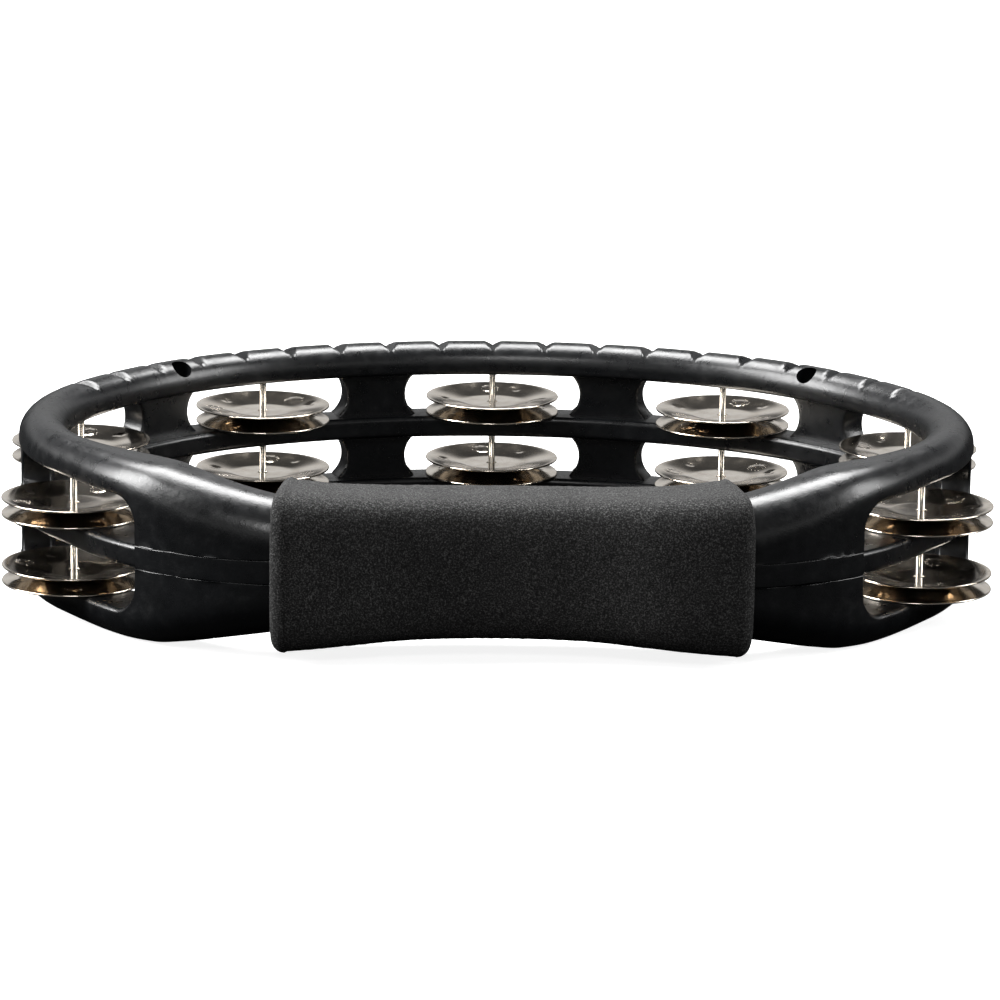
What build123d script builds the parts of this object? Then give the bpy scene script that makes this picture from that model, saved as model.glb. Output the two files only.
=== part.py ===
from build123d import *

import os
from math import cos, degrees, radians, sin

# A D-shaped double-row hand tambourine, in millimetres.
# It lies on its lower rim at Z = 0, with the hand grip at the front (-Y) and X = 0 as its mirror plane.
# Three mouldings are stacked to make the frame: a lower rim with posts, a middle band, and an upper rim
# with posts. Seven slotted pins cross both rows of slots, and each slot holds a pair of loose jingles.

# Frame plan: arcs of the right half of the centreline, from the back centre, as (radius, turn in degrees)
back_arc = (154.0, 26.6)
shoulder_arc = (116.3, 35.9)
side_arc = (73.6, 59.4)
corner_arc = (122.4, 18.1)
knuckle_arc = (62.0, 51.9)
back_pin_y = 89.55  # the back pin, which puts the middle of the whole object at Y = 0

# Frame heights
frame_height = 50.0
rim_height = 9.2
slot_height = 12.6
band_low = rim_height + slot_height
band_high = frame_height - band_low
slot_floors = {"lower": rim_height, "upper": band_high}

# Frame sections
rim_width = 13.5
rim_crown = 6.2  # rounding of the rim's outer edges, away from the slots
rim_edge = 1.5  # rounding of its edges along the slots
band_edge = 1.2
block_width = 20.0  # where the rim runs into the solid front block
web_inner = -2.2  # the posts are set back from the rim's inner face
web_outer = 6.2
post_waist = 18.0
post_foot = 24.4
slot_end_corner = 8.0
slot_end_overlap = 8.0

# Front block and handle core: (distance from the slot's end, width, height, corner radius)
block_sections = [
    (-slot_end_overlap, 19.2, 50.0, 6.0),
    (1.0, 20.2, 49.6, 7.5),
    (10.0, 21.0, 46.8, 8.5),
    (20.0, 21.4, 42.8, 9.2),
    (30.0, 21.4, 39.0, 9.5),
    (40.0, 21.0, 35.6, 9.5),
    (56.0, 20.4, 32.0, 9.2),
    (74.0, 20.0, 29.8, 9.0),
]
layer_reach = 400.0  # wider than the whole frame
core_width = 20.0
core_height = 29.0
core_corner = 9.0

# Foam grip: (distance to the right of the handle's middle, depth, height). It sits a little off the middle.
grip_sections = [
    (-60.2, 32.8, 44.7),
    (-42.0, 31.2, 41.4),
    (-22.0, 30.2, 39.4),
    (0.0, 30.0, 39.0),
    (22.0, 30.2, 39.4),
    (42.0, 31.2, 41.4),
    (56.0, 32.4, 44.0),
    (65.4, 33.4, 45.5),
]
grip_corner = 12.3
grip_edge = 3.0

# Scraper grooves and hang holes in the upper rim
groove_pitch = 15.9
grooves_each_side = 9
groove_width = 5.0
groove_depth = 1.9
hang_hole_place = 6.5  # in groove pitches from the back centre
hang_hole_radius = 3.1
hang_hole_tilt = 35.0  # degrees down, going outward
hang_hole_height = 45.4
hang_hole_reach = 16.0

# Pins
pin_radius = 1.0
pin_bore_radius = 0.62
pin_slit = 0.5
pin_fit = 0.02
pin_low = 4.6
pin_high = frame_height - pin_low

# Jingles
jingle_radius = 20.0
jingle_thickness = 0.55
jingle_flat = 8.5
jingle_rise = 1.95
jingle_lip = 0.8
jingle_hole_radius = 1.5
jingle_gap = 0.1
jingle_height = jingle_rise + jingle_thickness

arcs = [back_arc, shoulder_arc, side_arc, corner_arc, knuckle_arc]
handle_turn = 180.0 - sum(turn for _, turn in arcs)


def arc_length(arc):
    """Length of an arc given as (radius, turn)."""
    return arc[0] * radians(arc[1])


pin_distances = [0.0]
for slot_arc in (back_arc, shoulder_arc, side_arc):
    pin_distances.append(pin_distances[-1] + arc_length(slot_arc))
slot_end = pin_distances[-1] + arc_length(corner_arc)
knuckle_end = slot_end + arc_length(knuckle_arc)


def after_arc(x, y, heading, radius, turn):
    """Point and heading after a clockwise arc that starts at a point with a heading."""
    h0, h1 = radians(heading), radians(heading - turn)
    return x + radius * (sin(h0) - sin(h1)), y + radius * (cos(h1) - cos(h0)), heading - turn


knuckle_place = (0.0, back_pin_y, 0.0)
for radius, turn in arcs:
    knuckle_place = after_arc(*knuckle_place, radius, turn)
handle_arc = (knuckle_place[0] / sin(radians(handle_turn)), handle_turn)
handle_middle = knuckle_end + arc_length(handle_arc)


def centreline(distance):
    """Point and heading on the frame's centreline, a distance along it from the back centre."""
    x, y, heading = 0.0, back_pin_y, 0.0
    left = abs(distance)
    for radius, turn in arcs + [handle_arc]:
        step = min(left, arc_length((radius, turn)))
        x, y, heading = after_arc(x, y, heading, radius, degrees(step / radius))
        left -= step
    if distance < 0:
        return -x, y, -heading
    return x, y, heading


def cross_plane(distance):
    """Plane across the frame: X points outward, Y up."""
    x, y, heading = centreline(distance)
    along = (cos(radians(heading)), sin(radians(heading)), 0)
    outward = (-sin(radians(heading)), cos(radians(heading)), 0)
    return Plane(origin=(x, y, 0), x_dir=outward, z_dir=along)


def handle_plane(distance):
    """Plane across the handle, at a distance to the right of its middle: X points outward, Y up."""
    x, y, heading = centreline(handle_middle - abs(distance))
    x, heading = (-x, -heading) if distance < 0 else (x, heading)
    outward = (-sin(radians(heading)), cos(radians(heading)), 0)
    along = (cos(radians(heading)), sin(radians(heading)), 0)
    return Plane(origin=(x, y, 0), x_dir=outward, z_dir=along)


def facing_plane(distance):
    """Plane along the frame, seen from outside: Y up, its normal outward."""
    x, y, heading = centreline(distance)
    backward = (-cos(radians(heading)), -sin(radians(heading)), 0)
    outward = (-sin(radians(heading)), cos(radians(heading)), 0)
    return Plane(origin=(x, y, 0), x_dir=backward, z_dir=outward)


def rounded_section(plane, width, low, high, low_corner, high_corner, shift=0.0):
    """A rectangle across the frame, between two heights, with its bottom and top corners rounded."""
    with BuildSketch(plane) as section:
        with Locations((shift, (low + high) / 2)):
            Rectangle(width, high - low)
        for level, radius in ((0, low_corner), (-1, high_corner)):
            if radius:
                fillet(section.vertices().group_by(Axis.Y)[level], radius)
    return section.sketch


def back_path():
    """The centreline from the left front pin round the back to the right front pin."""
    x, y, heading = centreline(-pin_distances[-1])
    with BuildLine() as path:
        start = (x, y)
        ahead = (cos(radians(heading)), sin(radians(heading)))
        for radius, turn in (side_arc, shoulder_arc, back_arc, back_arc, shoulder_arc, side_arc):
            piece = JernArc(start=start, tangent=ahead, radius=radius, arc_size=-turn)
            start, ahead = piece @ 1, piece % 1
    return path.line


def swept_ring(width, low, high, low_corner, high_corner, shift=0.0):
    """A section carried along the back path."""
    start = cross_plane(-pin_distances[-1])
    section = rounded_section(start, width, low, high, low_corner, high_corner, shift)
    with BuildPart() as ring:
        sweep(sections=section, path=back_path())
    return ring.part


def corner_run(low, high, low_corner, high_corner):
    """The right front corner of a ring, widening from the last pin to the front block."""
    middle = (pin_distances[-1] + slot_end) / 2
    with BuildPart() as run:
        loft(
            sections=[
                rounded_section(cross_plane(at), width, low, high, low_corner, high_corner)
                for at, width in (
                    (pin_distances[-1], rim_width),
                    (middle, (rim_width + block_width) / 2),
                    (slot_end, block_width),
                )
            ]
        )
    return run.part


def handle_blank():
    """Both front blocks and the handle core between them, before the mouldings are separated."""
    centre = frame_height / 2
    with BuildPart() as blank:
        sections = [
            rounded_section(cross_plane(slot_end + at), width, centre - height / 2, centre + height / 2, r, r)
            for at, width, height, r in block_sections
        ]
        sections.append(
            rounded_section(
                cross_plane(handle_middle),
                core_width,
                centre - core_height / 2,
                centre + core_height / 2,
                core_corner,
                core_corner,
            )
        )
        loft(sections=sections)
        mirror(about=Plane.YZ)
    return blank.part


def ring_with_corners(low, high, low_corner, high_corner):
    """A whole open ring: the swept back and both widening front corners."""
    back = swept_ring(rim_width, low, high, low_corner, high_corner)
    run = corner_run(low, high, low_corner, high_corner)
    with BuildPart() as ring:
        add(back)
        add(run)
        mirror(run, about=Plane.YZ)
    return ring.part


def hourglass(distance, floor):
    """A post blank, wider at its foot and head than at its waist, crossing the web from in to out."""
    half_foot, half_waist = post_foot / 2, post_waist / 2
    with BuildPart() as blank:
        with BuildSketch(facing_plane(distance)):
            with BuildLine():
                head = floor + slot_height
                waist = floor + slot_height / 2
                Line((-half_foot, floor), (half_foot, floor))
                ThreePointArc((half_foot, floor), (half_waist, waist), (half_foot, head))
                Line((half_foot, head), (-half_foot, head))
                ThreePointArc((-half_foot, head), (-half_waist, waist), (-half_foot, floor))
            make_face()
        extrude(amount=rim_width, both=True)
    return blank.part


def posts(floor):
    """The six posts of one row, cut from a web that follows the frame."""
    web_width, web_shift = web_outer - web_inner, (web_outer + web_inner) / 2
    web = swept_ring(web_width, floor, floor + slot_height, 0, 0, web_shift)
    places = [(a + b) / 2 for a, b in zip(pin_distances, pin_distances[1:])]
    cut = []
    for place in places:
        for distance in (place, -place):
            blank = hourglass(distance, floor)
            with BuildPart() as post:
                add(web)
                add(blank, mode=Mode.INTERSECT)
            cut.append(post.part)
    return cut


def slot_end_cutter(floor, rim_above):
    """The end of a front slot, cut into the right front block and rounded on the rim's side."""
    with BuildPart() as cutter:
        with BuildSketch(facing_plane(slot_end - slot_end_overlap)) as outline:
            with Locations((slot_end_overlap, floor + slot_height / 2)):
                Rectangle(4 * slot_end_overlap, slot_height)
            end_corners = outline.vertices().group_by(Axis.X)[0].sort_by(Axis.Y)
            fillet(end_corners[-1 if rim_above else 0], slot_end_corner)
        extrude(amount=2 * block_width, both=True)
    return cutter.part


def handle_layer(low, high):
    """The stretch of the front blocks and handle core between two heights."""
    with BuildPart() as layer:
        add(handle)
        with BuildSketch(Plane.XY.offset(low)):
            Rectangle(layer_reach, layer_reach)
        extrude(amount=high - low, mode=Mode.INTERSECT)
    return layer.part


def pin_bores(low, high):
    """Cylinders, a little larger than the pins, at every pin's place."""
    bores = []
    for distance in pin_places:
        x, y, _ = centreline(distance)
        with BuildPart() as bore:
            with BuildSketch(Plane.XY.offset(low)):
                with Locations((x, y)):
                    Circle(pin_radius + pin_fit)
            extrude(amount=high - low)
        bores.append(bore.part)
    return bores


def groove_cutter(distance):
    """A V-shaped bar across the top of the upper rim."""
    with BuildPart() as bar:
        with BuildSketch(facing_plane(distance)):
            with BuildLine():
                slope = groove_width / 2 / groove_depth
                above = groove_depth
                Polyline(
                    (0, frame_height - groove_depth),
                    (slope * (groove_depth + above), frame_height + above),
                    (-slope * (groove_depth + above), frame_height + above),
                    close=True,
                )
            make_face()
        extrude(amount=rim_width, both=True)
    return bar.part


def hang_hole_cutter(distance):
    """A round bar through the upper rim, sloping down as it goes outward."""
    x, y, heading = centreline(distance)
    outward = Vector(-sin(radians(heading)), cos(radians(heading)), 0) * cos(radians(hang_hole_tilt))
    slope = outward - Vector(0, 0, sin(radians(hang_hole_tilt)))
    with BuildPart() as bar:
        with BuildSketch(Plane(origin=(x, y, hang_hole_height), z_dir=slope)):
            Circle(hang_hole_radius)
        extrude(amount=hang_hole_reach, both=True)
    return bar.part


pin_places = [0.0] + [side * d for d in pin_distances[1:] for side in (-1, 1)]
handle = handle_blank()

both_ends = {row: slot_end_cutter(floor, row == "upper") for row, floor in slot_floors.items()}
both_ends = {row: [end, mirror(end, about=Plane.YZ)] for row, end in both_ends.items()}
row_posts = {row: posts(floor) for row, floor in slot_floors.items()}
grooves = [groove_cutter(n * groove_pitch) for n in range(-grooves_each_side, grooves_each_side + 1)]
hang_holes = [hang_hole_cutter(side * hang_hole_place * groove_pitch) for side in (-1, 1)]

# Upper moulding: grooved rim, posts and the top of the front blocks and handle core
layer = handle_layer(band_high, frame_height)
ring = ring_with_corners(frame_height - rim_height, frame_height, rim_edge, rim_crown)
bores = pin_bores(band_high, pin_high)
with BuildPart() as frame_upper:
    add(layer)
    add(both_ends["upper"], mode=Mode.SUBTRACT)
    add(ring)
    add(row_posts["upper"])
    add(grooves + hang_holes + bores, mode=Mode.SUBTRACT)

# Middle band: the plain ring between the two rows of slots, running through the handle core
layer = handle_layer(band_low, band_high)
ring = ring_with_corners(band_low, band_high, band_edge, band_edge)
bores = pin_bores(band_low, band_high)
with BuildPart() as frame_middle:
    add(layer)
    add(ring)
    add(bores, mode=Mode.SUBTRACT)

# Lower moulding: plain rim, posts and the bottom of the front blocks and handle core
layer = handle_layer(0, band_low)
ring = ring_with_corners(0, rim_height, rim_crown, rim_edge)
bores = pin_bores(pin_low, band_low)
with BuildPart() as frame_lower:
    add(layer)
    add(both_ends["lower"], mode=Mode.SUBTRACT)
    add(ring)
    add(row_posts["lower"])
    add(bores, mode=Mode.SUBTRACT)

pieces = {
    "frame_upper": frame_upper.part,
    "frame_middle": frame_middle.part,
    "frame_lower": frame_lower.part,
}

# Foam grip: a thick sleeve over the handle core, flaring towards its ends
with BuildPart() as foam_grip:
    centre = frame_height / 2
    loft(
        sections=[
            rounded_section(
                handle_plane(at), depth, centre - height / 2, centre + height / 2, grip_corner, grip_corner
            )
            for at, depth, height in grip_sections
        ]
    )
    ends = foam_grip.faces().filter_by(GeomType.PLANE).sort_by(Axis.X)
    fillet(ends[0].edges() + ends[-1].edges(), grip_edge)
    add(handle, mode=Mode.SUBTRACT)
pieces["foam_grip"] = foam_grip.part


def pin(distance):
    """A slotted spring pin, its slit towards the handle, trapped between blind holes in the two rims."""
    with BuildPart() as piece:
        x, y, _ = centreline(distance)
        with BuildSketch(Plane.XY.offset(pin_low)):
            with Locations((x, y)):
                Circle(pin_radius)
                Circle(pin_bore_radius, mode=Mode.SUBTRACT)
                with Locations((0, -pin_radius)):
                    Rectangle(pin_slit, 2 * pin_radius, mode=Mode.SUBTRACT)
        extrude(amount=pin_high - pin_low)
    return piece.part


def jingle(distance, floor, flipped):
    """A dished disc with a flat middle: the lower one of a pair is flipped, with its rim down."""
    x, y, _ = centreline(distance)
    turn_side = -1 if flipped else 1
    base = floor + jingle_gap + jingle_height
    if not flipped:
        base += jingle_gap
    with BuildPart() as disc:
        with BuildSketch(Plane.XZ):
            with BuildLine():
                knee = jingle_radius - jingle_lip
                Polyline(
                    (jingle_hole_radius, 0),
                    (jingle_flat, 0),
                    (knee, turn_side * jingle_rise),
                    (jingle_radius, turn_side * jingle_rise),
                    (jingle_radius, turn_side * jingle_height),
                    (knee, turn_side * jingle_height),
                    (jingle_flat, turn_side * jingle_thickness),
                    (jingle_hole_radius, turn_side * jingle_thickness),
                    close=True,
                )
            make_face()
        revolve(axis=Axis.Z)
    return disc.part.moved(Location((x, y, base)))


slot_names = ["back", "back_left", "back_right", "side_left", "side_right", "front_left", "front_right"]
for name, distance in zip(slot_names, pin_places):
    pieces[f"pin_{name}"] = pin(distance)
    for row, floor in slot_floors.items():
        pieces[f"jingle_{row}_{name}_bottom"] = jingle(distance, floor, flipped=True)
        pieces[f"jingle_{row}_{name}_top"] = jingle(distance, floor, flipped=False)

os.makedirs("parts", exist_ok=True)
for name, part in pieces.items():
    part.label = name
    export_step(part, f"parts/{name}.step")
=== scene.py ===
import math

import bpy
import numpy as np
from mathutils import Matrix, Vector


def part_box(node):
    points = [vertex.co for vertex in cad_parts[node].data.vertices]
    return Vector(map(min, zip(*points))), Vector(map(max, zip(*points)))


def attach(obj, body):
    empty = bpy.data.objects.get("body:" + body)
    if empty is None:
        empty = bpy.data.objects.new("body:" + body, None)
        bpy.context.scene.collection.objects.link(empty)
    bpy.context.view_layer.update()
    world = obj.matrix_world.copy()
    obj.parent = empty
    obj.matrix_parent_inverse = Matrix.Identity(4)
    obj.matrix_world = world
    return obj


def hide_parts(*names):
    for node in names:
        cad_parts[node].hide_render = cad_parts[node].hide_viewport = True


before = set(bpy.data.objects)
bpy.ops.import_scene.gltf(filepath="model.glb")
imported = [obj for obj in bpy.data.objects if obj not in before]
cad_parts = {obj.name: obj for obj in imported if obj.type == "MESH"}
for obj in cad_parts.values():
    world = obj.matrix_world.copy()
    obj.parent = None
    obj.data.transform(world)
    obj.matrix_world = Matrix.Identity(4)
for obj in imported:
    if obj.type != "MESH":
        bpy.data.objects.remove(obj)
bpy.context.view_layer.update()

# Looks for a double-row hand tambourine: three stacked black mouldings, a foam grip, seven spring
# pins and 28 loose jingles. Lengths are in millimetres until mesh_object() turns them into metres.

MM = 0.001

# Frame plan: arcs of the right half of the centreline, from the back centre, as (radius, turn in degrees)
ARCS = [(154.0, 26.6), (116.3, 35.9), (73.6, 59.4), (122.4, 18.1), (62.0, 51.9)]
SLOT_NAMES = ["back", "back_left", "back_right", "side_left", "side_right", "front_left", "front_right"]
ROWS = ["lower", "upper"]


def cad_box(node):
    """Lowest and highest corner of a CAD node, in millimetres."""
    low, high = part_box(node)
    return np.array(low) / MM, np.array(high) / MM


def cad_middle(node):
    low, high = cad_box(node)
    return (low + high) / 2


# Heights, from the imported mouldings
FRAME_TOP = cad_box("frame_upper")[1][2]
BAND_LOW = cad_box("frame_middle")[0][2]
BAND_HIGH = cad_box("frame_middle")[1][2]
SLOT_HEIGHT = 12.6
RIM_UNDER = BAND_HIGH + SLOT_HEIGHT
RIM_OVER = BAND_LOW - SLOT_HEIGHT
BACK_Y = cad_middle("pin_back")[1]
CENTRE = FRAME_TOP / 2

# Corner radii across the frame, and along it where a slot ends
RIM_EDGE = 1.4
BAND_CORNER = 1.4
SEAM_CORNER = 0.28
SLOT_END_CORNER = 8.0
SLOT_EDGE_CORNER = 0.9

# Front block and handle core: distances from the slot's end, with the widths, heights and corner radii there
BLOCK_PLACES = [-38.6, -8.0, 1.0, 10.0, 20.0, 30.0, 40.0, 56.0, 74.0, 96.0]
BLOCK_WIDTHS = [13.5, 19.0, 20.2, 21.0, 21.4, 21.4, 21.0, 20.4, 20.0, 20.0]
BLOCK_HEIGHTS = [50.0, 50.0, 49.6, 46.8, 42.8, 39.0, 35.6, 32.0, 29.8, 29.0]
INNER_CORNERS = [6.2, 6.4, 6.6, 7.0, 7.6, 8.2, 8.6, 9.0, 9.0, 9.0]
OUTER_CORNERS = [6.6, 7.3, 8.4, 9.8, 10.9, 11.4, 11.0, 10.2, 9.4, 9.0]

# Posts: how far their two faces lie out from the centreline, their widths, and their rounded edges
WEB_INNER = -2.2
WEB_OUTER = 6.2
POST_EDGE = 0.9
POST_OVERLAP = 1.6
POST_WAIST = 18.0
POST_FOOT = 24.4

# Scraper grooves and hang holes
GROOVE_PITCH = 15.9
GROOVES_EACH_SIDE = 9
GROOVE_WIDTH = 5.0
GROOVE_DEPTH = 1.9
HANG_HOLE_PLACE = 6.5 * GROOVE_PITCH
HANG_HOLE_RADIUS = 3.1
HANG_HOLE_TILT = math.radians(35)
HANG_HOLE_HEIGHT = 45.4
HANG_HOLE_REACH = 14

# Foam grip: its two ends, measured to the right of the handle's middle, and its depths and heights at
# distances from that middle
GRIP_ENDS = (-60.2, 65.4)
GRIP_PLACES = [0.0, 22.0, 42.0, 56.0, 65.8]
GRIP_DEPTHS = [30.0, 30.2, 31.2, 32.4, 33.4]
GRIP_HEIGHTS = [39.0, 39.4, 41.4, 44.0, 45.6]
GRIP_SQUARENESS = 4.6
GRIP_GRAIN = 0.035
GRIP_EDGE = 3.0
GRIP_POINTS = 210

# Spring pins, and the bores round them
PIN_RADIUS = 1.0
PIN_BORE = 0.62
PIN_SLIT = 0.5
PIN_CHAMFER = 0.18
BORE_RADIUS = 1.08
BORE_END = 4.6

# Jingles
JINGLE_RADIUS = 20.0
JINGLE_THICKNESS = 0.55
JINGLE_FLAT = 8.6
JINGLE_RISE = 1.95
JINGLE_LIP = 0.8
JINGLE_HOLE = 1.5
DIMPLES = [(15, 14.6, 0.80, 0.30), (21, 15.6, 0.55, 0.22), (138, 14.4, 0.85, 0.30), (262, 14.8, 0.75, 0.28),
           (268, 13.6, 0.5, 0.18)]  # angle, distance from the middle, size, depth
STRUCK_PATCHES = [(48, 14.0), (186, 14.2), (305, 13.8)]  # angle, distance from the middle

rng = np.random.default_rng(11)


# ---------------------------------------------------------------- geometry helpers

def arc_length(arc):
    return arc[0] * math.radians(arc[1])


def closing_arc():
    """The concave handle arc, which brings the centreline back to X = 0."""
    x, heading = 0.0, 0.0
    for radius, turn in ARCS:
        x += radius * (math.sin(heading) - math.sin(heading - math.radians(turn)))
        heading -= math.radians(turn)
    turn = 180.0 - sum(turn for _, turn in ARCS)
    return x / math.sin(math.radians(turn)), turn


ALL_ARCS = ARCS + [closing_arc()]
PIN_DISTANCES = [0.0] + [sum(map(arc_length, ARCS[:n])) for n in (1, 2, 3)]
SLOT_END = sum(map(arc_length, ARCS[:4]))
HANDLE_MIDDLE = sum(map(arc_length, ALL_ARCS))


def centreline(distance):
    """X, Y and heading of the frame's centreline, at distances from the back centre, right side positive."""
    distance = np.asarray(distance, float)
    distance = (distance + HANDLE_MIDDLE) % (2 * HANDLE_MIDDLE) - HANDLE_MIDDLE
    left = np.abs(distance)
    x, y = np.zeros_like(left), np.full_like(left, BACK_Y)
    heading, start = np.zeros_like(left), 0.0
    for radius, turn in ALL_ARCS:
        step = np.clip(left, 0, arc_length((radius, turn))) / radius
        x += radius * (np.sin(start) - np.sin(start - step))
        y += radius * (np.cos(start - step) - np.cos(start))
        heading -= step
        start -= math.radians(turn)
        left = left - arc_length((radius, turn))
    side = np.where(distance < 0, -1.0, 1.0)
    return side * x, y, side * heading


def smooth_through(x, places, values):
    """A smooth curve through points, with no overshoot."""
    places, values = np.asarray(places, float), np.asarray(values, float)
    step = np.diff(places)
    rise = np.diff(values) / step
    slope = np.zeros_like(values)
    same = rise[1:] * rise[:-1] > 0
    mean = 2 * rise[1:] * rise[:-1] / np.where(same, rise[1:] + rise[:-1], 1)
    slope[1:-1] = np.where(same, mean, 0)
    k = np.clip(np.searchsorted(places, x) - 1, 0, len(step) - 1)
    t = np.clip((x - places[k]) / step[k], 0, 1)
    return (
        values[k] * (1 + 2 * t) * (1 - t) ** 2
        + values[k + 1] * t * t * (3 - 2 * t)
        + step[k] * (slope[k] * t * (1 - t) ** 2 - slope[k + 1] * t * t * (1 - t))
    )


def wobble(distance, spacing, seed):
    """Smooth random values of about unit size along a length."""
    draw = np.random.default_rng(seed)
    knots = np.arange(-400.0, 400.0 + spacing, spacing)
    return smooth_through(distance, knots, draw.normal(0, 1, len(knots)))


def soft_least(a, b, softness):
    """The lesser of two values, rounded over where they cross."""
    return -softness * np.logaddexp(-a / softness, -b / softness)


def grid_faces(rows, columns, wrap_rows=True):
    """Quads of a grid of points, closed round its columns and, if asked, its rows."""
    i = np.arange(rows if wrap_rows else rows - 1)[:, None]
    j = np.arange(columns)[None, :]
    i_next, j_next = (i + 1) % rows, (j + 1) % columns
    quads = [i * columns + j, i_next * columns + j, i_next * columns + j_next, i * columns + j_next]
    return np.stack([np.broadcast_to(q, (len(i), columns)) for q in quads], -1).reshape(-1, 4)


def mesh_object(name, points, faces, crease=32):
    """A smooth-shaded mesh from points in millimetres, its faces turned outward."""
    points = np.asarray(points, float).reshape(-1, 3) * MM
    faces = [list(map(int, face)) for face in faces]
    mesh = bpy.data.meshes.new(name)
    mesh.from_pydata(points.tolist(), [], faces)
    mesh.validate()
    mesh.calc_loop_triangles()
    tri = np.zeros(len(mesh.loop_triangles) * 3, int)
    mesh.loop_triangles.foreach_get("vertices", tri)
    a, b, c = points[tri.reshape(-1, 3)].transpose(1, 0, 2)
    if np.einsum("ij,ij->i", a, np.cross(b, c)).sum() < 0:
        mesh.flip_normals()
    finish_mesh(mesh, crease)
    piece = bpy.data.objects.new(name, mesh)
    bpy.context.scene.collection.objects.link(piece)
    return piece


def finish_mesh(mesh, crease):
    mesh.polygons.foreach_set("use_smooth", [True] * len(mesh.polygons))
    mesh.set_sharp_from_angle(angle=math.radians(crease))
    mesh.update()


def merged(parts):
    """Points and faces of several meshes, as one list of each."""
    points, faces, offset = [], [], 0
    for part_points, part_faces in parts:
        part_points = np.asarray(part_points, float).reshape(-1, 3)
        points.append(part_points)
        faces += [[int(v) + offset for v in face] for face in part_faces]
        offset += len(part_points)
    return np.concatenate(points), faces


def combine(piece, tool, operation, crease=32):
    """Joins a closed tool mesh into a piece, or cuts it out, and removes the tool."""
    step = piece.modifiers.new(operation.lower(), "BOOLEAN")
    step.object, step.operation, step.solver = tool, operation, "MANIFOLD"
    bpy.context.view_layer.update()
    evaluated = piece.evaluated_get(bpy.context.evaluated_depsgraph_get())
    mesh = bpy.data.meshes.new_from_object(evaluated)
    piece.modifiers.clear()
    old, piece.data = piece.data, mesh
    bpy.data.meshes.remove(old)
    bpy.data.objects.remove(tool)
    finish_mesh(mesh, crease)
    mesh.name = piece.name
    return piece


def place(piece, body, nodes, slot, *materials):
    """Gives a piece its body, the CAD nodes that it stands for, and its materials. The slot argument is not
    used.
    """
    piece.data.materials.clear()
    for material in materials:
        piece.data.materials.append(material)
    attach(piece, body)
    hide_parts(*nodes)


# ---------------------------------------------------------------- the three mouldings

ARC_STEPS = 8


def outline(u_in, u_out, z_low, z_high, corners, flat_steps, side_steps):
    """Rounded sections across the frame, one for each station, as (outward, height) points.
    Corners are the radii at the bottom inside, bottom outside, top outside and top inside."""
    low_in, low_out, high_out, high_in = corners
    centres = [
        (u_out - low_out, z_low + low_out, low_out, -90),
        (u_out - high_out, z_high - high_out, high_out, 0),
        (u_in + high_in, z_high - high_in, high_in, 90),
        (u_in + low_in, z_low + low_in, low_in, 180),
    ]
    arcs = []
    for u, z, radius, start in centres:
        angles = np.radians(start + 90 * np.arange(ARC_STEPS + 1) / ARC_STEPS)
        arcs.append(
            np.stack(
                [
                    u[:, None] + radius[:, None] * np.cos(angles),
                    z[:, None] + radius[:, None] * np.sin(angles),
                ],
                -1,
            )
        )
    columns = []
    for n, arc in enumerate(arcs):
        steps = side_steps if n % 2 == 0 else flat_steps
        share = (np.arange(1, steps + 1) / (steps + 1))[None, :, None]
        following = arcs[(n + 1) % 4][:, :1]
        columns += [arc, arc[:, -1:] * (1 - share) + following * share]
    return np.concatenate(columns, 1)


def around(stations, sections):
    """Points of a closed tube round the frame: sections[station, point] = (outward, height)."""
    x, y, heading = centreline(stations)
    u, z = sections[..., 0], sections[..., 1]
    return np.stack(
        [x[:, None] - np.sin(heading)[:, None] * u, y[:, None] + np.cos(heading)[:, None] * u, z], -1
    )


def both_sides(distances):
    """Stations all the way round, from distances on one side, once each."""
    one_side = np.unique(np.round(np.clip(distances, 0, HANDLE_MIDDLE), 3))
    return np.concatenate([-one_side[::-1], one_side[1:-1]])


def main_stations():
    """Distances along one side: closer at the grooves and where a slot ends."""
    drop = SLOT_END - SLOT_END_CORNER
    slot_end = drop + SLOT_END_CORNER * np.sin(np.radians(np.arange(0, 91, 7.5)))
    parts = [np.arange(0, HANDLE_MIDDLE, 1.0), [HANDLE_MIDDLE], slot_end, [SLOT_END + 0.06, SLOT_END + 0.5]]
    for n in range(GROOVES_EACH_SIDE + 1):
        parts.append(n * GROOVE_PITCH + np.arange(-3.2, 3.21, 0.22))
    distances = np.sort(np.concatenate(parts))
    distances = distances[(distances >= 0) & ((distances < drop - 0.4) | (distances > SLOT_END + 0.03))]
    return np.concatenate([distances, slot_end])


def block_shape(stations):
    """Width, height, and inner and outer corner radius of the frame at each station."""
    past = np.abs(stations) - SLOT_END
    return [
        smooth_through(past, BLOCK_PLACES, values)
        for values in (BLOCK_WIDTHS, BLOCK_HEIGHTS, INNER_CORNERS, OUTER_CORNERS)
    ]


def seam_height(stations, height, seed):
    """A moulding seam's height, a little uneven in the front blocks."""
    in_block = np.clip((np.abs(stations) - SLOT_END) / 3, 0, 1)
    return height + in_block * 0.10 * wobble(stations, 5.0, seed)


def flash(stations, seed):
    """How far thin, ragged moulding flash stands out along a seam."""
    in_block = np.clip((np.abs(stations) - SLOT_END) / 1.5, 0, 1)
    ragged = wobble(stations, 1.1, seed) + 0.8 * wobble(stations, 6.0, seed + 1)
    return in_block * 0.16 * np.clip(ragged + 0.2, 0, 2.5)


def groove_floor(stations):
    """Height of the V-shaped scraper grooves' faces."""
    nearest = np.clip(np.round(stations / GROOVE_PITCH), -GROOVES_EACH_SIDE, GROOVES_EACH_SIDE)
    away = np.abs(stations - nearest * GROOVE_PITCH)
    return FRAME_TOP - GROOVE_DEPTH + away * GROOVE_DEPTH / (GROOVE_WIDTH / 2)


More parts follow.
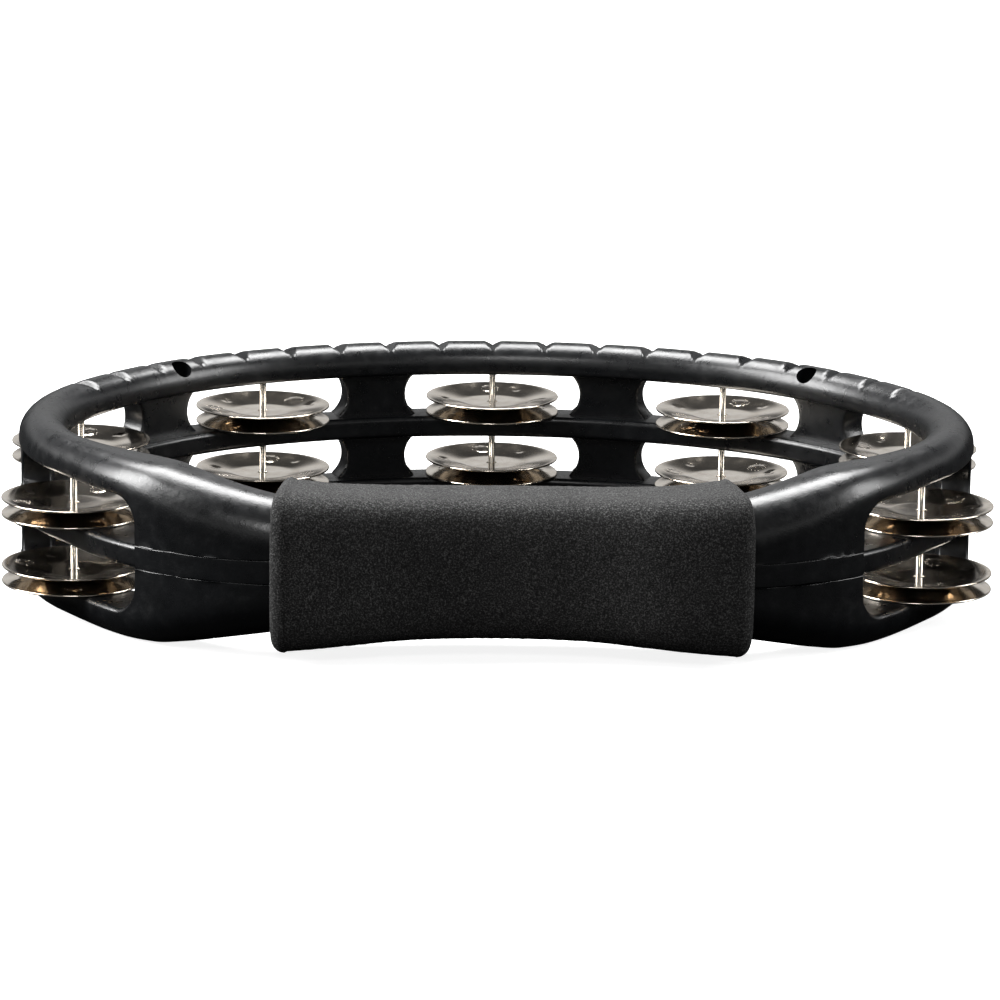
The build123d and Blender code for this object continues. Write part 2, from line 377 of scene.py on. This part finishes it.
def slot_end_drop(stations):
    """How far a slot's end has turned down from the rim: 0 along the slot, all the way past its end."""
    into = np.abs(stations) - (SLOT_END - SLOT_END_CORNER)
    turned = np.clip(into, 0, SLOT_END_CORNER)
    drop = SLOT_END_CORNER - np.sqrt(SLOT_END_CORNER**2 - turned**2)
    return np.where(np.abs(stations) > SLOT_END + 0.01, SLOT_HEIGHT, drop)


def outer_moulding(upper):
    """Stations and sections of the upper moulding, or of the lower one, which is its plain mirror image."""
    stations = both_sides(main_stations())
    width, height, inner, outer = block_shape(stations)
    drop = slot_end_drop(stations)
    seam = seam_height(stations, BAND_HIGH if upper else FRAME_TOP - BAND_LOW, 3 if upper else 5)
    z_high = CENTRE + height / 2
    z_low = np.where(drop >= SLOT_HEIGHT, seam, RIM_UNDER - drop)
    tight = np.clip(drop / 2.5, 0, 1)
    slot_corner = RIM_EDGE * (1 - tight) + SLOT_EDGE_CORNER * tight
    low_corner = np.where(drop >= SLOT_HEIGHT, SEAM_CORNER, slot_corner)
    room = np.minimum(z_high - z_low - low_corner - 0.3, width - 0.4)
    inner, outer = np.minimum(inner, room), np.minimum(outer, room)
    outer = np.minimum(outer, width - inner - 0.3)
    sections = outline(-width / 2, width / 2, z_low, z_high, (low_corner, low_corner, outer, inner), 4, 6)
    ridge = flash(stations, 21 if upper else 31)
    low_out = slice(0, ARC_STEPS + 1)
    sections[:, low_out, 0] += ridge[:, None] * np.sin(np.linspace(0, math.pi, ARC_STEPS + 1)) ** 2
    if upper:
        floor = groove_floor(stations)[:, None]
        sections[..., 1] = soft_least(sections[..., 1], np.broadcast_to(floor, sections.shape[:2]), 0.12)
    else:
        sections[..., 1] = FRAME_TOP - sections[..., 1]
    return stations, sections


def post_ring(reach):
    """A post's outline at one height, as (along the frame, outward) points: two faces and four corners."""
    inner, outer = WEB_INNER + POST_EDGE, WEB_OUTER - POST_EDGE
    flat = np.linspace(-1, 1, 17) * (reach - POST_EDGE)

    def corner(side, centre, angles):
        turns = [math.radians(a) for a in angles]
        along = side * (reach - POST_EDGE)
        return [(along + POST_EDGE * math.cos(a), centre + POST_EDGE * math.sin(a)) for a in turns]

    front = [(t, WEB_OUTER) for t in flat]
    right = corner(1, outer, (67.5, 45.0, 22.5, 0.0)) + corner(1, inner, (-22.5, -45.0, -67.5))
    back = [(t, WEB_INNER) for t in flat[::-1]]
    left = corner(-1, inner, (247.5, 225.0, 202.5, 180.0)) + corner(-1, outer, (157.5, 135.0, 112.5))
    return np.array(front + right + back + left)


def post_parts(upper):
    """Closed hourglass posts of one row, each a stack of outlines from the band into the rim."""
    low, high = (BAND_HIGH, RIM_UNDER + POST_OVERLAP) if upper else (RIM_OVER - POST_OVERLAP, BAND_LOW)
    slot_low = BAND_HIGH if upper else RIM_OVER
    flare, half_slot = (POST_FOOT - POST_WAIST) / 2, SLOT_HEIGHT / 2
    bend = (half_slot**2 + flare**2) / (2 * flare)
    levels = np.linspace(low, high, 15)
    from_waist = np.clip((levels - slot_low - half_slot) / half_slot, -1, 1)
    reaches = POST_WAIST / 2 + bend - np.sqrt(bend**2 - (from_waist * half_slot) ** 2)
    places = [(a + b) / 2 for a, b in zip(PIN_DISTANCES, PIN_DISTANCES[1:])]
    parts = []
    for middle in places + [-place for place in places]:
        rows = []
        for level, reach in zip(levels, reaches):
            ring = post_ring(reach)
            x, y, heading = centreline(middle + ring[:, 0])
            out_x, out_y = x - np.sin(heading) * ring[:, 1], y + np.cos(heading) * ring[:, 1]
            rows.append(np.stack([out_x, out_y, np.full(len(ring), level)], 1))
        count = len(rows[0])
        top = (len(rows) - 1) * count
        faces = grid_faces(len(rows), count, wrap_rows=False).tolist()
        faces += [list(range(count)), list(range(top, top + count))[::-1]]
        parts.append((np.concatenate(rows), faces))
    return parts


def round_bar(start, end, radius, sides=48):
    """A closed cylinder between two points."""
    start, end = Vector(start), Vector(end)
    turn = (end - start).to_track_quat("Z", "Y")
    ring = [
        turn @ Vector((radius * math.cos(a), radius * math.sin(a), 0))
        for a in np.radians(np.arange(sides) * 360 / sides)
    ]
    points = [start + p for p in ring] + [end + p for p in ring]
    faces = [[i, (i + 1) % sides, sides + (i + 1) % sides, sides + i] for i in range(sides)]
    return points, faces + [list(range(sides))[::-1], list(range(sides, 2 * sides))]


def pin_bars(low, high):
    """Bars for the bores, a little larger than the pins."""
    bars = []
    for name in SLOT_NAMES:
        x, y, _ = cad_middle(f"pin_{name}")
        bars.append(round_bar((x, y, low), (x, y, high), BORE_RADIUS, 24))
    return bars


def hang_hole_bars():
    """Bars through the upper rim, sloping down as they go outward."""
    bars = []
    for side in (-1, 1):
        x, y, heading = centreline(side * HANG_HOLE_PLACE)
        out = np.array([-np.sin(heading), np.cos(heading), -math.tan(HANG_HOLE_TILT)]) * HANG_HOLE_REACH
        middle = np.array([x, y, HANG_HOLE_HEIGHT])
        bars.append(round_bar(middle - out, middle + out, HANG_HOLE_RADIUS))
    return bars


def outer_frame_piece(name, upper):
    """The upper or the lower moulding: its rim, blocks and posts, with the holes cut."""
    stations, sections = outer_moulding(upper)
    points = around(stations, sections)
    piece = mesh_object(name, points, grid_faces(*points.shape[:2]))
    posts = mesh_object(name + "_posts", *merged(post_parts(upper)))
    combine(piece, posts, "UNION")
    if upper:
        bars = pin_bars(BAND_HIGH - 1, FRAME_TOP - BORE_END) + hang_hole_bars()
    else:
        bars = pin_bars(BORE_END, BAND_LOW + 1)
    return combine(piece, mesh_object(name + "_bars", *merged(bars)), "DIFFERENCE")


def band_piece():
    """The plain ring between the two rows, which runs on through the front blocks."""
    beyond = [SLOT_END + 0.06, SLOT_END + 0.5, SLOT_END + 1.0]
    plain = np.arange(0, HANDLE_MIDDLE, 1.2)
    stations = both_sides(np.concatenate([plain, [HANDLE_MIDDLE, SLOT_END], beyond]))
    width = block_shape(stations)[0]
    inside = np.abs(stations) > SLOT_END + 0.01
    edge = np.where(inside, SEAM_CORNER, BAND_CORNER)
    low = seam_height(stations, BAND_LOW, 5)
    high = seam_height(stations, BAND_HIGH, 3)
    sections = outline(-width / 2, width / 2, low, high, (edge, edge, edge, edge), 4, 4)
    points = around(stations, sections)
    piece = mesh_object("middle_band", points, grid_faces(*points.shape[:2]))
    bars = mesh_object("band_bars", *merged(pin_bars(BAND_LOW - 1, BAND_HIGH + 1)))
    return combine(piece, bars, "DIFFERENCE")


# ---------------------------------------------------------------- foam grip

def ring_of(depth, height, count):
    """A soft-cornered ring as (outward, height from its middle), crowned a little on each face."""
    angle = np.linspace(0, 2 * math.pi, count, endpoint=False)
    power = 2 / GRIP_SQUARENESS
    u = np.sign(np.cos(angle)) * np.abs(np.cos(angle)) ** power * depth / 2
    z = np.sign(np.sin(angle)) * np.abs(np.sin(angle)) ** power * height / 2
    return np.stack([u, z], -1)


def even_ring(depth, height, count):
    """The same ring with its points spaced evenly."""
    fine = ring_of(depth, height, 2048)
    closed = np.concatenate([fine, fine[:1]])
    run = np.concatenate([[0], np.cumsum(np.linalg.norm(np.diff(closed, axis=0), axis=1))])
    at = np.linspace(0, run[-1], count, endpoint=False)
    return np.stack([np.interp(at, run, closed[:, 0]), np.interp(at, run, closed[:, 1])], -1)


def grip_ring(at, inset):
    """The sleeve's outline at a distance to the right of the handle's middle, drawn in by an inset."""
    depth, height = (smooth_through(abs(at), GRIP_PLACES, v) for v in (GRIP_DEPTHS, GRIP_HEIGHTS))
    return even_ring(float(depth) - 2 * inset, float(height) - 2 * inset, GRIP_POINTS)


def grip_piece():
    """The thick foam sleeve: outer skin, rounded ends and the bore round the handle core."""
    left, right = GRIP_ENDS
    roll = np.radians(np.arange(0, 91, 9))
    curve = [(GRIP_EDGE * (1 - math.sin(a)), GRIP_EDGE * (1 - math.cos(a))) for a in roll]
    bore = even_ring(BLOCK_WIDTHS[-1] + 0.2, BLOCK_HEIGHTS[-1] + 0.2, GRIP_POINTS)
    rings = [(left + back, grip_ring(left, inset)) for back, inset in curve[::-1]]
    skin = np.arange(left + GRIP_EDGE + 0.6, right - GRIP_EDGE - 0.3, 0.62)
    rings += [(at, grip_ring(at, 0.0)) for at in skin]
    rings += [(right - back, grip_ring(right, inset)) for back, inset in curve]
    outside = len(rings)
    for share in (0.3, 0.65, 1.0):
        rings.append((right, rings[outside - 1][1] * (1 - share) + bore * share))
    rings += [(at, bore) for at in np.linspace(right - 1, left + 1, 28)]
    for share in (1.0, 0.65, 0.3):
        rings.append((left, rings[0][1] * (1 - share) + bore * share))
    stations = np.array([at for at, _ in rings])
    sections = np.array([ring for _, ring in rings])
    grain = rng.normal(0, 1, sections.shape[:2])
    grain = (grain + np.roll(grain, 1, 0) + np.roll(grain, 1, 1) + np.roll(grain, (1, 1), (0, 1))) / 2
    grain[outside:] *= 0.2
    away = sections / np.linalg.norm(sections, axis=2, keepdims=True)
    sections = sections + away * (grain[..., None] * GRIP_GRAIN - 0.05)
    sections[..., 1] += CENTRE
    points = around(HANDLE_MIDDLE - stations, sections)
    return mesh_object("foam_sleeve", points, grid_faces(*points.shape[:2]), crease=60)


# ---------------------------------------------------------------- pins and jingles

def pin_piece(name, turn):
    """A slotted spring pin with chamfered ends, its slit turned from the handle by its own angle."""
    x, y, _ = cad_middle(f"pin_{name}")
    low, high = cad_box(f"pin_{name}")
    open_angle = math.degrees(math.asin(PIN_SLIT / 2 / PIN_RADIUS))
    inner_open = math.degrees(math.asin(PIN_SLIT / 2 / PIN_BORE))
    steps = 28
    outer_angles = np.radians(-90 + turn + np.linspace(open_angle, 360 - open_angle, steps))
    inner_angles = np.radians(-90 + turn + np.linspace(inner_open, 360 - inner_open, steps))
    levels = [(low[2], PIN_CHAMFER), (low[2] + PIN_CHAMFER, 0),
              (high[2] - PIN_CHAMFER, 0), (high[2], PIN_CHAMFER)]
    rows = []
    for z, inset in levels:
        outer = np.stack([x + (PIN_RADIUS - inset) * np.cos(outer_angles),
                          y + (PIN_RADIUS - inset) * np.sin(outer_angles), np.full(steps, z)], 1)
        inner = np.stack([x + PIN_BORE * np.cos(inner_angles), y + PIN_BORE * np.sin(inner_angles),
                          np.full(steps, z)], 1)
        rows.append(np.concatenate([outer, inner[::-1]]))
    count = 2 * steps
    faces = grid_faces(len(rows), count, wrap_rows=False).tolist()
    for base, flip in ((0, 1), ((len(rows) - 1) * count, -1)):
        for i in range(steps - 1):
            quad = [base + i, base + i + 1, base + count - 2 - i, base + count - 1 - i]
            faces.append(quad[::flip])
    return mesh_object(f"spring_pin_{name}", np.concatenate(rows), faces, crease=40)


def dish(r):
    """Height of a jingle's surface: a flat middle, a sloping wall and a flat lip."""
    softness = 0.55
    knee, lip = JINGLE_FLAT + 0.4, JINGLE_RADIUS - JINGLE_LIP
    slope = JINGLE_RISE / (lip - knee)
    return slope * softness * (np.logaddexp(0, (r - knee) / softness) - np.logaddexp(0, (r - lip) / softness))


def jingle_mesh():
    """A stamped disc with a hole, a rounded edge and a few struck dimples and marks, dished upward."""
    sides = 168
    half = JINGLE_THICKNESS / 2
    inner = [JINGLE_HOLE + 0.1, 2.5, 4.5, 6.5, 7.4]
    outer = list(np.arange(8.0, JINGLE_RADIUS - 0.29, 0.48))
    radii = inner + outer
    top = [(r, JINGLE_THICKNESS) for r in radii]
    edge = [
        (JINGLE_RADIUS - half + half * math.sin(a), half + half * math.cos(a))
        for a in np.radians(np.arange(15, 166, 15))
    ]
    bottom = [(r, 0.0) for r in radii[::-1]]
    hole = [(JINGLE_HOLE, 0.12), (JINGLE_HOLE, JINGLE_THICKNESS - 0.12)]
    profile = np.array(top + edge + bottom + hole)
    r, z = profile[:, 0], profile[:, 1] + dish(profile[:, 0]) - dish(0.0)
    angle = np.arange(sides) * 2 * math.pi / sides
    x = r[:, None] * np.cos(angle)
    y = r[:, None] * np.sin(angle)
    z = np.repeat(z[:, None], sides, 1)
    mark = np.zeros_like(z)

    def square_away(at, radius):
        cx, cy = radius * math.cos(math.radians(at)), radius * math.sin(math.radians(at))
        return (x - cx) ** 2 + (y - cy) ** 2

    for at, radius, size, depth in DIMPLES:
        z -= depth * np.exp(-square_away(at, radius) / (2 * size**2))
    for at, radius in STRUCK_PATCHES:
        mark = np.maximum(mark, np.exp(-((square_away(at, radius) / 5.5) ** 3)))
    points = np.stack([x, y, z], -1)
    faces = grid_faces(len(profile), sides)
    disc = mesh_object("jingle_disc", points, faces, crease=50)
    layer = disc.data.attributes.new("struck", "FLOAT", "POINT")
    layer.data.foreach_set("value", mark.astype(np.float32).ravel())
    mesh = disc.data
    bpy.data.objects.remove(disc)
    return mesh


def jingle_piece(name, mesh, turn, upward):
    """One disc of a pair, where its CAD node lies: the top one dished upward, the bottom one turned over."""
    low, high = cad_box(name)
    mesh = mesh.copy()
    flip = Matrix.Rotation(0 if upward else math.pi, 4, "X")
    mesh.transform(Matrix.Rotation(turn, 4, "Z") @ flip)
    disc = bpy.data.objects.new(f"disc_{name[len('jingle_'):]}", mesh)
    bpy.context.scene.collection.objects.link(disc)
    middle = (low + high) / 2 * MM
    disc.location = (middle[0], middle[1], (low[2] if upward else high[2]) * MM)
    return disc


# ---------------------------------------------------------------- materials

def new_material(name, base, roughness, metallic=0.0, specular=0.5):
    material = bpy.data.materials.new(name)
    material.use_nodes = True
    shader = material.node_tree.nodes["Principled BSDF"]
    shader.inputs["Base Color"].default_value = (*base, 1)
    shader.inputs["Roughness"].default_value = roughness
    shader.inputs["Metallic"].default_value = metallic
    shader.inputs["Specular IOR Level"].default_value = specular
    return material, material.node_tree, shader


def add_node(tree, kind, settings=None, **links):
    """A node with settings on its sockets or itself, and links into its named sockets."""
    node = tree.nodes.new("ShaderNode" + kind)
    for key, value in (settings or {}).items():
        if key in node.inputs:
            node.inputs[key].default_value = value
        else:
            setattr(node, key, value)
    for key, source in links.items():
        tree.links.new(source, node.inputs[key.replace("_", " ")])
    return node


def ramp(tree, source, stops):
    """A colour ramp through (position, grey or colour) stops."""
    node = tree.nodes.new("ShaderNodeValToRGB")
    tree.links.new(source, node.inputs["Fac"])
    elements = node.color_ramp.elements
    while len(elements) < len(stops):
        elements.new(0.5)
    for element, (position, value) in zip(elements, stops):
        element.position = position
        colour = (value,) * 3 if isinstance(value, float) else value
        element.color = (*colour, 1)
    return node.outputs["Color"]


def coordinates(tree):
    return tree.nodes.new("ShaderNodeTexCoord").outputs["Object"]


def noise(tree, place_at, scale, detail=2.0, rough=0.5):
    node = add_node(tree, "TexNoise", {"Scale": scale, "Detail": detail, "Roughness": rough}, Vector=place_at)
    return node.outputs["Fac"]


def bump(tree, shader, layers):
    """Stacked bumps, each a (height, distance in metres, strength)."""
    normal = None
    for height, distance, strength in layers:
        node = add_node(tree, "Bump", {"Distance": distance, "Strength": strength}, Height=height)
        if normal is not None:
            tree.links.new(normal, node.inputs["Normal"])
        normal = node.outputs["Normal"]
    tree.links.new(normal, shader.inputs["Normal"])


def math_node(tree, operation, a, b):
    node = tree.nodes.new("ShaderNodeMath")
    node.operation = operation
    for socket, value in zip(node.inputs, (a, b)):
        if isinstance(value, (int, float)):
            socket.default_value = value
        else:
            tree.links.new(value, socket)
    return node.outputs["Value"]


def frame_plastic():
    """Satin black moulded plastic, with fine grain, faint mottling and uneven gloss."""
    material, tree, shader = new_material("frame_plastic", (0.0028, 0.0031, 0.0036), 0.30)
    at = coordinates(tree)
    mottle = noise(tree, at, 60.0, 4.0)
    colour = ramp(tree, mottle, [(0.3, (0.0018, 0.0021, 0.0025)), (0.7, (0.0036, 0.0040, 0.0048))])
    tree.links.new(colour, shader.inputs["Base Color"])
    rough = ramp(tree, noise(tree, at, 240.0, 5.0, 0.65), [(0.3, 0.25), (0.55, 0.31), (0.75, 0.42)])
    tree.links.new(rough, shader.inputs["Roughness"])
    fine = noise(tree, at, 2600.0, 2.0)
    coarse = noise(tree, at, 700.0, 3.0)
    bump(tree, shader, [(coarse, 0.00012, 0.35), (fine, 0.00005, 0.6)])
    return material


def grip_foam():
    """Closed-cell foam: charcoal, with light specks painted into its colour as glints where the fine cells
    would catch the light.
    """
    material, tree, shader = new_material("grip_foam", (0.02, 0.02, 0.021), 0.96, specular=0.25)
    at = coordinates(tree)
    cells = noise(tree, at, 2300.0, 3.0, 0.7)
    patches = noise(tree, at, 90.0, 3.0)
    # Base colour: dark cell tone, with bright specks painted in as glints off the foam cells
    painted_glint_specks = ramp(tree, cells, [(0.40, (0.006, 0.006, 0.006)), (0.52, (0.018, 0.018, 0.018)),
                                (0.64, (0.08, 0.08, 0.079))])
    tint = ramp(tree, patches, [(0.3, 0.85), (0.7, 1.1)])
    mixed = add_node(tree, "Mix", {"data_type": "RGBA", "blend_type": "MULTIPLY"})
    mixed.inputs["Factor"].default_value = 1.0
    tree.links.new(painted_glint_specks, mixed.inputs[6])
    tree.links.new(tint, mixed.inputs[7])
    tree.links.new(mixed.outputs[2], shader.inputs["Base Color"])
    voronoi = add_node(tree, "TexVoronoi", {"Scale": 1500.0}, Vector=at).outputs["Distance"]
    bump(tree, shader, [(voronoi, 0.0003, 0.5), (cells, 0.0003, 0.6)])
    return material


def jingle_nickel():
    """Polished nickel plate, with faint spin lines, handling haze and struck marks."""
    material, tree, shader = new_material("jingle_nickel", (0.72, 0.66, 0.58), 0.1, metallic=1.0)
    at = coordinates(tree)
    haze = noise(tree, at, 160.0, 4.0, 0.6)
    rough = ramp(tree, haze, [(0.35, 0.10), (0.6, 0.16), (0.8, 0.26)])
    tree.links.new(rough, shader.inputs["Roughness"])
    colour = ramp(tree, haze, [(0.3, (0.74, 0.68, 0.60)), (0.75, (0.66, 0.585, 0.49))])
    tree.links.new(colour, shader.inputs["Base Color"])
    radius = add_node(tree, "VectorMath", {"operation": "LENGTH"}, Vector=at).outputs["Value"]
    rings = noise(tree, radius, 2600.0, 2.0)
    struck = add_node(tree, "Attribute", {"attribute_name": "struck"}).outputs["Fac"]
    dents = add_node(tree, "TexVoronoi", {"Scale": 1150.0, "Randomness": 0.9}, Vector=at).outputs["Distance"]
    pecked = math_node(tree, "MULTIPLY", struck, math_node(tree, "GREATER_THAN", dents, 0.42))
    bump(tree, shader, [(rings, 0.00002, 0.25), (pecked, 0.00030, 0.9)])
    return material


def pin_steel():
    """Bright drawn steel with faint lines along the pin."""
    material, tree, shader = new_material("pin_steel", (0.86, 0.83, 0.78), 0.22, metallic=1.0)
    at = coordinates(tree)
    stretched = add_node(tree, "Mapping", {"Scale": (6000.0, 6000.0, 120.0)}, Vector=at).outputs["Vector"]
    lines = add_node(tree, "TexNoise", {"Scale": 1.0, "Detail": 2.0}, Vector=stretched).outputs["Fac"]
    rough = ramp(tree, lines, [(0.3, 0.18), (0.7, 0.32)])
    tree.links.new(rough, shader.inputs["Roughness"])
    bump(tree, shader, [(lines, 0.00002, 0.4)])
    return material


# ---------------------------------------------------------------- stage, light and camera

def seen_or_not(tree, seen, unseen):
    """A shader that the camera sees, and another for light and reflections."""
    path = tree.nodes.new("ShaderNodeLightPath")
    mix = tree.nodes.new("ShaderNodeMixShader")
    tree.links.new(path.outputs["Is Camera Ray"], mix.inputs["Fac"])
    tree.links.new(unseen, mix.inputs[1])
    tree.links.new(seen, mix.inputs[2])
    return mix.outputs["Shader"]


def make_floor():
    """A plain floor: white where the camera sees it, nearly black to light and reflections."""
    mesh = bpy.data.meshes.new("floor")
    reach = 3.0
    mesh.from_pydata([(-reach, -reach, 0), (reach, -reach, 0), (reach, reach, 0), (-reach, reach, 0)],
                     [], [[0, 1, 2, 3]])
    floor = bpy.data.objects.new("floor", mesh)
    bpy.context.scene.collection.objects.link(floor)
    material = bpy.data.materials.new("floor_white")
    material.use_nodes = True
    tree = material.node_tree
    tree.nodes.clear()
    white = add_node(tree, "Emission", {"Color": (1, 1, 1, 1), "Strength": 0.86}).outputs["Emission"]
    pale = add_node(tree, "BsdfDiffuse", {"Color": (0.5, 0.5, 0.5, 1)}).outputs["BSDF"]
    lit = add_node(tree, "AddShader")
    tree.links.new(white, lit.inputs[0])
    tree.links.new(pale, lit.inputs[1])
    dim = add_node(tree, "BsdfDiffuse", {"Color": (0.012, 0.012, 0.012, 1)}).outputs["BSDF"]
    out = tree.nodes.new("ShaderNodeOutputMaterial")
    tree.links.new(seen_or_not(tree, lit.outputs["Shader"], dim), out.inputs["Surface"])
    mesh.materials.append(material)


def make_world():
    """White where the camera sees it; for reflections a dim room with a lighter band low down."""
    world = bpy.data.worlds.new("studio")
    bpy.context.scene.world = world
    world.use_nodes = True
    tree = world.node_tree
    tree.nodes.clear()
    direction = tree.nodes.new("ShaderNodeTexCoord").outputs["Generated"]
    height = add_node(tree, "SeparateXYZ", None, Vector=direction).outputs["Z"]
    lifted = math_node(tree, "MULTIPLY_ADD", height, 0.5)
    tree.nodes[-1].inputs[2].default_value = 0.5
    stops = [(0.50, 0.01), (0.56, 0.10), (0.59, 0.70), (0.64, 0.70), (0.69, 0.05), (0.9, 0.06)]
    room = ramp(tree, lifted, stops)
    dim = add_node(tree, "Background", {"Strength": 1.0}, Color=room).outputs["Background"]
    white = add_node(tree, "Background", {"Color": (1, 1, 1, 1), "Strength": 1.0}).outputs["Background"]
    out = tree.nodes.new("ShaderNodeOutputWorld")
    tree.links.new(seen_or_not(tree, white, dim), out.inputs["Surface"])


def soft_light(name, place_at, target, size, power):
    data = bpy.data.lights.new(name, "AREA")
    data.shape, data.size, data.size_y = "RECTANGLE", size[0], size[1]
    data.energy = power
    light = bpy.data.objects.new(name, data)
    bpy.context.scene.collection.objects.link(light)
    light.location = place_at
    light.rotation_euler = (Vector(target) - Vector(place_at)).to_track_quat("-Z", "Y").to_euler()


def make_lights():
    middle = (0, 0, 0.03)
    soft_light("overhead", (-0.05, 0.42, 0.95), middle, (1.1, 0.5), 34)
    soft_light("left", (-0.95, -0.05, 0.65), middle, (0.5, 0.8), 28)
    soft_light("right", (1.0, -0.10, 0.55), middle, (0.4, 0.6), 8)
    soft_light("front", (-0.15, -1.3, 0.95), middle, (0.5, 0.25), 5)


def make_camera():
    """In front of the handle and a little above it."""
    distance, elevation, yaw, roll = 1.4672, 0.2289, 0.0162, 0.0130
    target = Vector((0.00135, 0.0016, 0.0212))
    data = bpy.data.cameras.new("camera")
    data.sensor_width, data.lens = 36.0, 184.08
    data.clip_start, data.clip_end = 0.05, 20.0
    camera = bpy.data.objects.new("camera", data)
    bpy.context.scene.collection.objects.link(camera)
    level = math.cos(elevation)
    back = Vector((-math.sin(yaw) * level, -math.cos(yaw) * level, math.sin(elevation)))
    camera.location = target + back * distance
    turn = (-back).to_track_quat("-Z", "Y").to_matrix()
    camera.rotation_euler = (turn @ Matrix.Rotation(roll, 3, "Z")).to_euler()
    bpy.context.scene.camera = camera


# ---------------------------------------------------------------- the tambourine

plastic, foam, nickel, steel = frame_plastic(), grip_foam(), jingle_nickel(), pin_steel()
place(outer_frame_piece("upper_moulding", True), "frame", ["frame_upper"], "frame_plastic", plastic)
place(band_piece(), "frame", ["frame_middle"], "frame_plastic", plastic)
place(outer_frame_piece("lower_moulding", False), "frame", ["frame_lower"], "frame_plastic", plastic)

sleeve = grip_piece()
place(sleeve, "frame", ["foam_grip"], "grip_foam", foam)

for name, turn in zip(SLOT_NAMES, (65, 8, -14, 5, -5, 12, -10)):
    place(pin_piece(name, turn), "frame", [f"pin_{name}"], "pin_steel", steel)

disc_mesh = jingle_mesh()
for row in ROWS:
    for slot_name in SLOT_NAMES:
        for which in ("bottom", "top"):
            node = f"jingle_{row}_{slot_name}_{which}"
            turn = rng.uniform(0, 2 * math.pi)
            place(jingle_piece(node, disc_mesh, turn, which == "top"), node, [node], "jingle_nickel", nickel)

make_floor()
make_world()
make_lights()
make_camera()
bpy.context.scene.view_settings.view_transform = "Standard"
